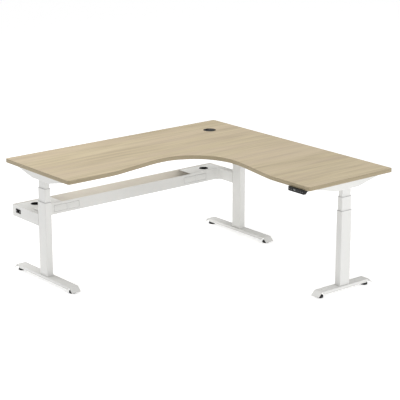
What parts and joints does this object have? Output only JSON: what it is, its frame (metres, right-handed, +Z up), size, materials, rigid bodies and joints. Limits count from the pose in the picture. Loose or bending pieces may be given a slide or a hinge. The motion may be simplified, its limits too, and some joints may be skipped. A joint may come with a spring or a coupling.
{
  "type": "height adjustable standing desk",
  "caption": "L-shaped sit-stand desk: pale oak top on electric three-stage white columns with flat feet, a rear cable trough, a cable outlet and a hand controller.",
  "frame": {"origin": "on the floor, under the middle of the top's square outline", "axes": "+Z up; the main wing runs along X at the rear (+Y), the return wing runs along Y on the right (+X), the sitter's corner opens towards -X -Y"},
  "size_m": [1.8, 1.8, 0.765],
  "materials": {
    "oak_board": "pale oak decor with a soft satin face and a slightly darker edge band",
    "white_coat": "white powder coat, fine texture, satin",
    "grey_bush": "grey glide bush",
    "pad_rubber": "black moulded pad",
    "key_plastic": "dark grey key caps",
    "black_plastic": "black moulded plastic with fine texture",
    "display_glass": "dark glossy window",
    "circuit_board": "green board",
    "nut_plastic": "off-white nut plastic",
    "cast_alloy": "die-cast alloy",
    "motor_black": "black painted motor can",
    "bare_steel": "plain steel"
  },
  "bodies": {
    "base": {"foot_corner": "white_coat", "foot_left": "white_coat", "foot_right": "white_coat", "outer_tube_corner": "white_coat", "outer_tube_left": "white_coat", "outer_tube_right": "white_coat", "outer_collars": "grey_bush", "screw_supports": "bare_steel", "base_nuts": "nut_plastic", "base_screws": "bare_steel", "cable_beam": "white_coat", "end_covers": "white_coat", "outlet_rings": "black_plastic", "socket_covers": "white_coat", "power_inlet": "black_plastic"},
    "top": {"desktop": "oak_board", "grommet_ring": "black_plastic", "brackets": "white_coat", "inner_tubes": "white_coat", "gearboxes": "cast_alloy", "motors": "motor_black", "main_rails": "white_coat", "return_rails": "white_coat", "control_box": "black_plastic", "handset_housing": "black_plastic", "handset_board": "circuit_board", "display_window": "display_glass", "top_screws": "bare_steel"},
    "middle_left": {"middle_tube_left": "white_coat", "middle_collar_left": "grey_bush", "guide_tube_left": "bare_steel", "middle_nut_left": "nut_plastic"},
    "hollow_screw_left": {"hollow_screw_left": "bare_steel"},
    "drive_screw_left": {"drive_screw_left": "bare_steel"},
    "middle_corner": {"middle_tube_corner": "white_coat", "middle_collar_corner": "grey_bush", "guide_tube_corner": "bare_steel", "middle_nut_corner": "nut_plastic"},
    "hollow_screw_corner": {"hollow_screw_corner": "bare_steel"},
    "drive_screw_corner": {"drive_screw_corner": "bare_steel"},
    "middle_right": {"middle_tube_right": "white_coat", "middle_collar_right": "grey_bush", "guide_tube_right": "bare_steel", "middle_nut_right": "nut_plastic"},
    "hollow_screw_right": {"hollow_screw_right": "bare_steel"},
    "drive_screw_right": {"drive_screw_right": "bare_steel"},
    "grommet_cap": {"grommet_cap": "black_plastic"},
    "button_up": {"button_up": "key_plastic"},
    "button_down": {"button_down": "key_plastic"},
    "button_one": {"button_one": "key_plastic"},
    "button_two": {"button_two": "key_plastic"},
    "button_three": {"button_three": "key_plastic"},
    "button_memory": {"button_memory": "key_plastic"},
    "level_foot_left_a": {"level_foot_left_a": "pad_rubber"},
    "level_foot_left_b": {"level_foot_left_b": "pad_rubber"},
    "level_foot_corner_a": {"level_foot_corner_a": "pad_rubber"},
    "level_foot_corner_b": {"level_foot_corner_b": "pad_rubber"},
    "level_foot_right_a": {"level_foot_right_a": "pad_rubber"},
    "level_foot_right_b": {"level_foot_right_b": "pad_rubber"}
  },
  "joints": [
    {"name": "lift", "type": "slide", "parent": "base", "child": "top", "axis": [0, 0, 1], "range_m": [-0.078, 0.52]},
    {"name": "middle_rise_left", "type": "slide", "parent": "base", "child": "middle_left", "axis": [0, 0, 1], "range_m": [-0.041, 0.261]},
    {"name": "hollow_turn_left", "type": "hinge", "parent": "middle_left", "child": "hollow_screw_left", "pos_m": [-0.848, 0.52, 0.36], "axis": [0, 0, 1], "range_deg": [-1460, 9380]},
    {"name": "drive_turn_left", "type": "hinge", "parent": "top", "child": "drive_screw_left", "pos_m": [-0.848, 0.52, 0.68], "axis": [0, 0, 1], "range_deg": [-1460, 9380]},
    {"name": "middle_rise_corner", "type": "slide", "parent": "base", "child": "middle_corner", "axis": [0, 0, 1], "range_m": [-0.041, 0.261]},
    {"name": "hollow_turn_corner", "type": "hinge", "parent": "middle_corner", "child": "hollow_screw_corner", "pos_m": [0.82, 0.52, 0.36], "axis": [0, 0, 1], "range_deg": [-1460, 9380]},
    {"name": "drive_turn_corner", "type": "hinge", "parent": "top", "child": "drive_screw_corner", "pos_m": [0.82, 0.52, 0.68], "axis": [0, 0, 1], "range_deg": [-1460, 9380]},
    {"name": "middle_rise_right", "type": "slide", "parent": "base", "child": "middle_right", "axis": [0, 0, 1], "range_m": [-0.041, 0.261]},
    {"name": "hollow_turn_right", "type": "hinge", "parent": "middle_right", "child": "hollow_screw_right", "pos_m": [0.522, -0.848, 0.36], "axis": [0, 0, 1], "range_deg": [-1460, 9380]},
    {"name": "drive_turn_right", "type": "hinge", "parent": "top", "child": "drive_screw_right", "pos_m": [0.522, -0.848, 0.68], "axis": [0, 0, 1], "range_deg": [-1460, 9380]},
    {"name": "grommet_cap_lift", "type": "slide", "parent": "top", "child": "grommet_cap", "axis": [0, 0, 1], "range_m": [0, 0.06]},
    {"name": "press_up", "type": "slide", "parent": "top", "child": "button_up", "axis": [1, 0, 0], "range_m": [0, 0.0008], "stiffness_N_per_m": 700},
    {"name": "press_down", "type": "slide", "parent": "top", "child": "button_down", "axis": [1, 0, 0], "range_m": [0, 0.0008], "stiffness_N_per_m": 700},
    {"name": "press_one", "type": "slide", "parent": "top", "child": "button_one", "axis": [1, 0, 0], "range_m": [0, 0.0008], "stiffness_N_per_m": 700},
    {"name": "press_two", "type": "slide", "parent": "top", "child": "button_two", "axis": [1, 0, 0], "range_m": [0, 0.0008], "stiffness_N_per_m": 700},
    {"name": "press_three", "type": "slide", "parent": "top", "child": "button_three", "axis": [1, 0, 0], "range_m": [0, 0.0008], "stiffness_N_per_m": 700},
    {"name": "press_memory", "type": "slide", "parent": "top", "child": "button_memory", "axis": [1, 0, 0], "range_m": [0, 0.0008], "stiffness_N_per_m": 700},
    {"name": "level_left_a", "type": "hinge", "parent": "base", "child": "level_foot_left_a", "pos_m": [-0.848, 0.819, 0.022], "axis": [0, 0, 1], "range_deg": [0, 2400]},
    {"name": "level_left_b", "type": "hinge", "parent": "base", "child": "level_foot_left_b", "pos_m": [-0.848, 0.221, 0.022], "axis": [0, 0, 1], "range_deg": [0, 2400]},
    {"name": "level_corner_a", "type": "hinge", "parent": "base", "child": "level_foot_corner_a", "pos_m": [0.82, 0.819, 0.022], "axis": [0, 0, 1], "range_deg": [0, 2400]},
    {"name": "level_corner_b", "type": "hinge", "parent": "base", "child": "level_foot_corner_b", "pos_m": [0.82, 0.221, 0.022], "axis": [0, 0, 1], "range_deg": [0, 2400]},
    {"name": "level_right_a", "type": "hinge", "parent": "base", "child": "level_foot_right_a", "pos_m": [0.722, -0.848, 0.022], "axis": [0, 0, 1], "range_deg": [0, 2400]},
    {"name": "level_right_b", "type": "hinge", "parent": "base", "child": "level_foot_right_b", "pos_m": [0.322, -0.848, 0.022], "axis": [0, 0, 1], "range_deg": [0, 2400]}
  ],
  "couplings": [
    {"joint": "middle_rise_left", "follows": "lift", "ratio": 0.5},
    {"joint": "hollow_turn_left", "follows": "lift", "rad_per_m": 314.16},
    {"joint": "drive_turn_left", "follows": "lift", "rad_per_m": 314.16},
    {"joint": "middle_rise_corner", "follows": "lift", "ratio": 0.5},
    {"joint": "hollow_turn_corner", "follows": "lift", "rad_per_m": 314.16},
    {"joint": "drive_turn_corner", "follows": "lift", "rad_per_m": 314.16},
    {"joint": "middle_rise_right", "follows": "lift", "ratio": 0.5},
    {"joint": "hollow_turn_right", "follows": "lift", "rad_per_m": 314.16},
    {"joint": "drive_turn_right", "follows": "lift", "rad_per_m": 314.16}
  ]
}
